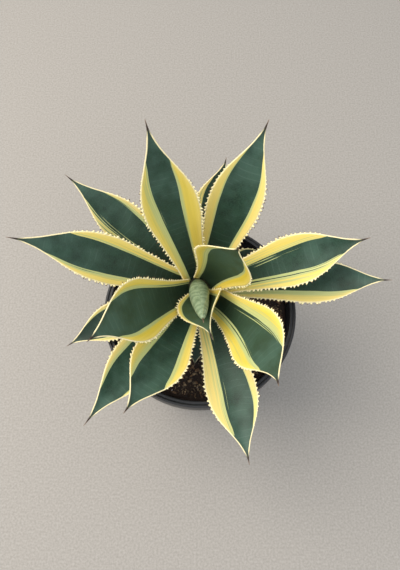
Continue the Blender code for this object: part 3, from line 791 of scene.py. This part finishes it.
def buildPot():
    rule = potRule
    high, out = rule["height"], rule["rimRadius"]
    inner = out - rule["rimWidth"]
    skirtLow = high - rule["skirtDepth"]
    underside = high - rule["skirtWall"]
    foot, skirtIn = rule["footRadius"], out - rule["skirtWall"]
    # corners as (radius, height) with their rounding, from under the middle outwards and back in:
    # foot ring, wall, skirt, bead of the rim, groove behind it, lip, inner wall, floor
    corners = [
        ((0, 0.0012), 0), ((foot - 0.012, 0.0012), 0.0006),
        ((foot - 0.013, 0), 0.0006), ((foot, 0), 0.0015),
        ((potRadius(skirtLow + 0.002), skirtLow + 0.002), 0),
        ((potRadius(underside), underside), 0.0006),
        ((skirtIn, underside), 0.0006), ((skirtIn, skirtLow), 0.0007),
        ((out - 0.0002, skirtLow), 0.0007), ((out, high), 0.0014),
        ((out - 0.0032, high), 0.0010), ((out - 0.0036, high - 0.0009), 0.0004),
        ((out - 0.0044, high - 0.0009), 0.0004), ((out - 0.0048, high - 0.0002), 0.0005),
        ((inner, high - 0.0002), 0.0012), ((inner - 0.0006, high - 0.012), 0.0008),
        ((inner - 0.0012, high - 0.0135), 0.0008),
        ((potRadius(rule["floor"]) - rule["wall"], rule["floor"]), 0.0020), ((0, rule["floor"]), 0)]
    section = []
    for index, (corner, radius) in enumerate(corners):
        if radius:
            section += roundedCorner(corners[index - 1][0], corner, corners[index + 1][0], radius)
        else:
            section.append(corner)
    mesh = bpy.data.meshes.new("pot_shell")
    edges = [(at, at + 1) for at in range(len(section) - 1)]
    mesh.from_pydata([(r, 0, z) for r, z in section], edges, [])
    shell = bmesh.new()
    shell.from_mesh(mesh)
    bmesh.ops.spin(shell, geom=shell.verts[:] + shell.edges[:], cent=(0, 0, 0), axis=(0, 0, 1),
                   angle=2 * pi, steps=rule["sides"], use_merge=True)
    bmesh.ops.remove_doubles(shell, verts=shell.verts, dist=1e-6)
    bmesh.ops.recalc_face_normals(shell, faces=shell.faces)
    shell.to_mesh(mesh)
    shell.free()
    mesh.materials.append(potSkin)
    piece = bpy.data.objects.new("pot_shell", mesh)
    collection.objects.link(piece)
    cutters = []
    for hole in range(rule["holes"]):
        turn = 2 * pi * (hole + 0.5) / rule["holes"] + pi / rule["sides"]
        cutMesh = bpy.data.meshes.new("cutter")
        plug = bmesh.new()
        bmesh.ops.create_cone(plug, cap_ends=True, segments=28, radius1=rule["holeRadius"],
                              radius2=rule["holeRadius"], depth=0.02)
        plug.to_mesh(cutMesh)
        plug.free()
        cutter = bpy.data.objects.new("cutter", cutMesh)
        cutter.location = (rule["holeCircle"] * cos(turn), rule["holeCircle"] * sin(turn), 0)
        collection.objects.link(cutter)
        cut = piece.modifiers.new("hole", "BOOLEAN")
        cut.object = cutter
        cut.operation = "DIFFERENCE"
        cutters.append(cutter)
    graph = bpy.context.evaluated_depsgraph_get()
    piece.data = bpy.data.meshes.new_from_object(piece.evaluated_get(graph), depsgraph=graph)
    piece.modifiers.clear()
    for cutter in cutters:
        bpy.data.objects.remove(cutter)
    piece.data.shade_smooth()
    piece.data.set_sharp_from_angle(angle=radians(50))
    return piece


pot = buildPot()
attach(pot, "root")
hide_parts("pot")
print("pot ready")

# potting mix: composted bark and coir, loose; dark, damp, with paler chips on top
soilLow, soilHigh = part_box("potting_soil")
soilRule = {
    "top": soilHigh.z, "low": soilLow.z, "radius": soilHigh.x, "rings": 70, "spokes": 180,
    "bump": 0.0035, "chipLength": 0.0046, "chipDensity": 165000.0, "chipSeed": 5,
    "stemGap": 0.025, "wallGap": 0.005, "leastUp": 0.3,     # where chips may lie
}
soilColours = {"dark": "#120b07", "brown": "#29170e", "red": "#543019", "tan": "#8a6a48",
               "pale": "#b39a78", "splinter": "#ffffff"}
soilSkin, soilNode, soilShader = newMaterial("compostedBarkMix")
soilSpace = soilNode("TexCoord").outputs["Object"]
soilGrain = soilNode("TexNoise", {"Vector": soilSpace, "Scale": 420.0, "Detail": 6.0,
                                  "Roughness": 0.7})
soilColour = soilNode("Mix", {"Factor": soilGrain, "A": soilColours["dark"],
                              "B": soilColours["brown"]})
soilRelief = soilNode("Bump", {"Height": soilGrain, "Strength": 1.0, "Distance": 0.001})
setSockets(soilShader, {"Base Color": soilColour, "Normal": soilRelief, "Roughness": 0.92})
chipSkin, chipNode, chipShader = newMaterial("pineBarkChip")
chipTone = chipNode("Attribute", attribute_name="chipTone").outputs["Fac"]
chipRamp = chipNode("ValToRGB", {"Fac": chipTone})
for place in (0.40, 0.66, 0.9):
    chipRamp.color_ramp.elements.new(place)
for stop, colour in zip(chipRamp.color_ramp.elements, ("dark", "pale", "red", "tan", "splinter")):
    stop.color = linearColour(soilColours[colour])
chipFibre = chipNode("TexNoise", {"Vector": chipNode("TexCoord").outputs["Object"], "Scale": 900.0,
                                  "Detail": 4.0})
chipColour = chipNode("Mix", {"Factor": chipFibre, "A": chipRamp.outputs["Color"],
                              "B": soilColours["dark"]})
chipRelief = chipNode("Bump", {"Height": chipFibre, "Strength": 0.8, "Distance": 0.0006})
setSockets(chipShader, {"Base Color": chipColour, "Normal": chipRelief, "Roughness": 0.85})


def soilHeight(x, y):
    # hummocks of 25 mm, crumbs of 6 mm, grains of 2 mm
    hummock = noise.noise(Vector((x * 40, y * 40, 1.7)))
    crumb = noise.noise(Vector((x * 160, y * 160, 4.1)))
    fine = noise.noise(Vector((x * 420, y * 420, 9.3)))
    return soilRule["bump"] * (0.5 * hummock + 0.45 * crumb + 0.22 * fine)


def buildSoil():
    rule = soilRule
    points, faces = [(0, 0, rule["top"] + soilHeight(0, 0))], []
    for ring in range(1, rule["rings"] + 1):
        radius = rule["radius"] * ring / rule["rings"]
        for spoke in range(rule["spokes"]):
            turn = 2 * pi * spoke / rule["spokes"]
            x, y = radius * cos(turn), radius * sin(turn)
            points.append((x, y, rule["top"] - 0.001 + soilHeight(x, y)))
    for spoke in range(rule["spokes"]):
        faces.append((0, 1 + spoke, 1 + (spoke + 1) % rule["spokes"]))
    for ring in range(rule["rings"] - 1):
        for spoke in range(rule["spokes"]):
            here = 1 + ring * rule["spokes"] + spoke
            side = 1 + ring * rule["spokes"] + (spoke + 1) % rule["spokes"]
            faces.append((here, here + rule["spokes"], side + rule["spokes"], side))
    rim = 1 + (rule["rings"] - 1) * rule["spokes"]
    lowRadius = rule["radius"] - 0.0125
    start = len(points)
    for spoke in range(rule["spokes"]):
        turn = 2 * pi * spoke / rule["spokes"]
        points.append((lowRadius * cos(turn), lowRadius * sin(turn), rule["low"]))
    for spoke in range(rule["spokes"]):
        after = (spoke + 1) % rule["spokes"]
        faces.append((rim + spoke, start + spoke, start + after, rim + after))
    faces.append(tuple(range(start, start + rule["spokes"])))
    return plainPiece("potting_mix", points, faces, soilSkin)


soil = buildSoil()
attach(soil, "root")
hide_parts("potting_soil")

# chip tree: scatters bark chips of four shapes over the top of the mix
scatterTree, scatterNode, scatterIn = newGeometryTree("barkChips", (
    ("Chip Length", "Float", 0.01), ("Chips Per Square Metre", "Float", 50000.0),
    ("Seed", "Int", 5), ("Material", "Material", None)))
scattered = scatterNode("DistributePointsOnFaces", {"Mesh": scatterIn["Geometry"],
                                                    "Density": scatterIn["Chips Per Square Metre"],
                                                    "Seed": scatterIn["Seed"]},
                                                    distribute_method="RANDOM")
toneValue = scatterNode("RandomValue", {"Min": 0.0, "Max": 1.0, "Seed": 3})
toneBent = scatterNode("Math", {0: toneValue, 1: 2.6}, operation="POWER")
toned = scatterNode("StoreNamedAttribute", {"Geometry": scattered.outputs["Points"],
                                            "Name": "chipTone", "Value": toneBent})
shapes = scatterNode("JoinGeometry")
for variant in range(4):
    block = scatterNode("MeshCube", {"Size": (1.0, 0.42 + 0.12 * variant, 0.20 + 0.05 * variant),
                                     "Vertices X": 3, "Vertices Y": 3, "Vertices Z": 2})
    push = scatterNode("RandomValue", {"Min": (-0.10, -0.12, -0.07), "Max": (0.10, 0.12, 0.07),
                                       "Seed": 20 + variant}, data_type="FLOAT_VECTOR")
    chipSpot = scatterNode("SeparateXYZ", {0: scatterNode("InputPosition")})
    narrowing = scatterNode("Math", {0: chipSpot.outputs["X"], 1: chipSpot.outputs["X"]},
                            operation="MULTIPLY")
    narrowed = scatterNode("Math", {0: narrowing, 1: -2.2, 2: 1.0}, operation="MULTIPLY_ADD")
    narrowY = scatterNode("Math", {0: chipSpot.outputs["Y"], 1: narrowed}, operation="MULTIPLY")
    chipPlace = scatterNode("CombineXYZ", {0: chipSpot.outputs["X"], 1: narrowY,
                                           2: chipSpot.outputs["Z"]})
    shaped = scatterNode("SetPosition", {"Geometry": block.outputs["Mesh"], "Position": chipPlace,
                                         "Offset": push})
    alone = scatterNode("GeometryToInstance", {0: shaped})
    scatterTree.links.new(alone.outputs[0], shapes.inputs[0])
tilt = scatterNode("RandomValue", {"Min": (-0.55, -0.55, 0.0), "Max": (0.55, 0.55, 6.283),
                                   "Seed": 41}, data_type="FLOAT_VECTOR")
tiltTurn = scatterNode("EulerToRotation", {0: tilt})
sizeValue = scatterNode("RandomValue", {"Min": 0.0, "Max": 1.0, "Seed": 57})
sizeBent = scatterNode("Math", {0: sizeValue, 1: 2.2}, operation="POWER")
sizeShare = scatterNode("Math", {0: sizeBent, 1: 0.85, 2: 0.24}, operation="MULTIPLY_ADD")
chipSize = scatterNode("Math", {0: sizeShare, 1: scatterIn["Chip Length"]}, operation="MULTIPLY")
chipsSet = scatterNode("InstanceOnPoints", {"Points": toned, "Instance": shapes,
                                            "Pick Instance": True, "Rotation": tiltTurn,
                                            "Scale": chipSize})
endGeometryTree(scatterTree, chipsSet, scatterIn["Material"])


def chipGround():
    # the part of the soil's top that chips may lie on: off the wall and off the stem
    rule = soilRule
    stemSpot = rosette["heart"].xy
    ground = bmesh.new()
    ground.from_mesh(soil.data)
    middles = [(face, face.calc_center_median().xy) for face in ground.faces]
    spare = [face for face, middle in middles if face.normal.z < rule["leastUp"]
             or middle.length > rule["radius"] - rule["wallGap"]
             or (middle - stemSpot).length < rule["stemGap"]]
    bmesh.ops.delete(ground, geom=spare, context="FACES")
    mesh = bpy.data.meshes.new("chipGround")
    ground.to_mesh(mesh)
    ground.free()
    mesh.materials.clear()
    return mesh


chips = grownMesh("bark_chips", chipGround(), scatterTree, {
    "Chip Length": soilRule["chipLength"], "Chips Per Square Metre": soilRule["chipDensity"],
    "Seed": soilRule["chipSeed"], "Material": chipSkin})
for polygon in chips.data.polygons:
    polygon.use_smooth = False
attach(chips, "root")
print("soil and chips ready:", len(chips.data.polygons))

# stage: plain pale floor, soft lights, camera
stageRule = {
    "floorSize": 60.0, "sky": "#eef1f5", "skyStrength": 1.0,
    "key": {"place": (-0.95, 0.20, 1.65), "size": 1.4, "watts": 38.0, "colour": "#fff6ea"},
    "fill": {"place": (0.5, -1.4, 1.4), "size": 1.6, "watts": 9.0, "colour": "#eef4ff"},
    "lightAim": Vector((0, 0, 0.15)),
    "lens": 35, "sensor": 36, "nearest": 0.01,
    "distance": 0.675, "pitch": 71, "look": Vector((0, 0.032, 0.200)),
}
floorColours = {"shade": "#8e8a84", "light": "#9f9b95"}
floorMesh = bpy.data.meshes.new("floor")
reach = stageRule["floorSize"] / 2
floorMesh.from_pydata([(-reach, -reach, 0), (reach, -reach, 0), (reach, reach, 0),
                       (-reach, reach, 0)], [], [(0, 1, 2, 3)])
floor = bpy.data.objects.new("floor", floorMesh)
collection.objects.link(floor)
# floor: concrete, trowelled; matt, with a fine sand grain
floorSkin, floorNode, floorShader = newMaterial("paleConcrete")
floorSpace = floorNode("TexCoord").outputs["Object"]
floorGrain = floorNode("TexNoise", {"Vector": floorSpace, "Scale": 350.0, "Detail": 3.0})
floorShade = floorNode("MapRange", {"Value": floorGrain, "From Min": 0.3, "From Max": 0.7})
floorColour = floorNode("Mix", {"Factor": floorShade, "A": floorColours["shade"],
                                "B": floorColours["light"]})
setSockets(floorShader, {"Base Color": floorColour, "Roughness": 0.9})
floorMesh.materials.append(floorSkin)

world = bpy.data.worlds.new("studio")
world.use_nodes = True
setSockets(world.node_tree.nodes["Background"], {"Color": stageRule["sky"],
                                                 "Strength": stageRule["skyStrength"]})
bpy.context.scene.world = world
for name in ("key", "fill"):
    rule = stageRule[name]
    lamp = bpy.data.lights.new(name, "AREA")
    lamp.size = rule["size"]
    lamp.energy = rule["watts"]
    lamp.color = linearColour(rule["colour"])[:3]
    light = bpy.data.objects.new(name, lamp)
    light.location = rule["place"]
    aim = stageRule["lightAim"] - Vector(rule["place"])
    light.rotation_euler = aim.to_track_quat("-Z", "Y").to_euler()
    collection.objects.link(light)

pitch = radians(stageRule["pitch"])
camera = bpy.data.objects.new("camera", bpy.data.cameras.new("camera"))
camera.data.lens = stageRule["lens"]
camera.data.sensor_width = stageRule["sensor"]
camera.location = stageRule["look"] + stageRule["distance"] * Vector((0, -cos(pitch), sin(pitch)))
camera.rotation_euler = (pi / 2 - pitch, 0, 0)
camera.data.clip_start = stageRule["nearest"]
collection.objects.link(camera)
bpy.context.scene.camera = camera
bpy.context.scene.view_settings.view_transform = "Standard"
print("stage ready")
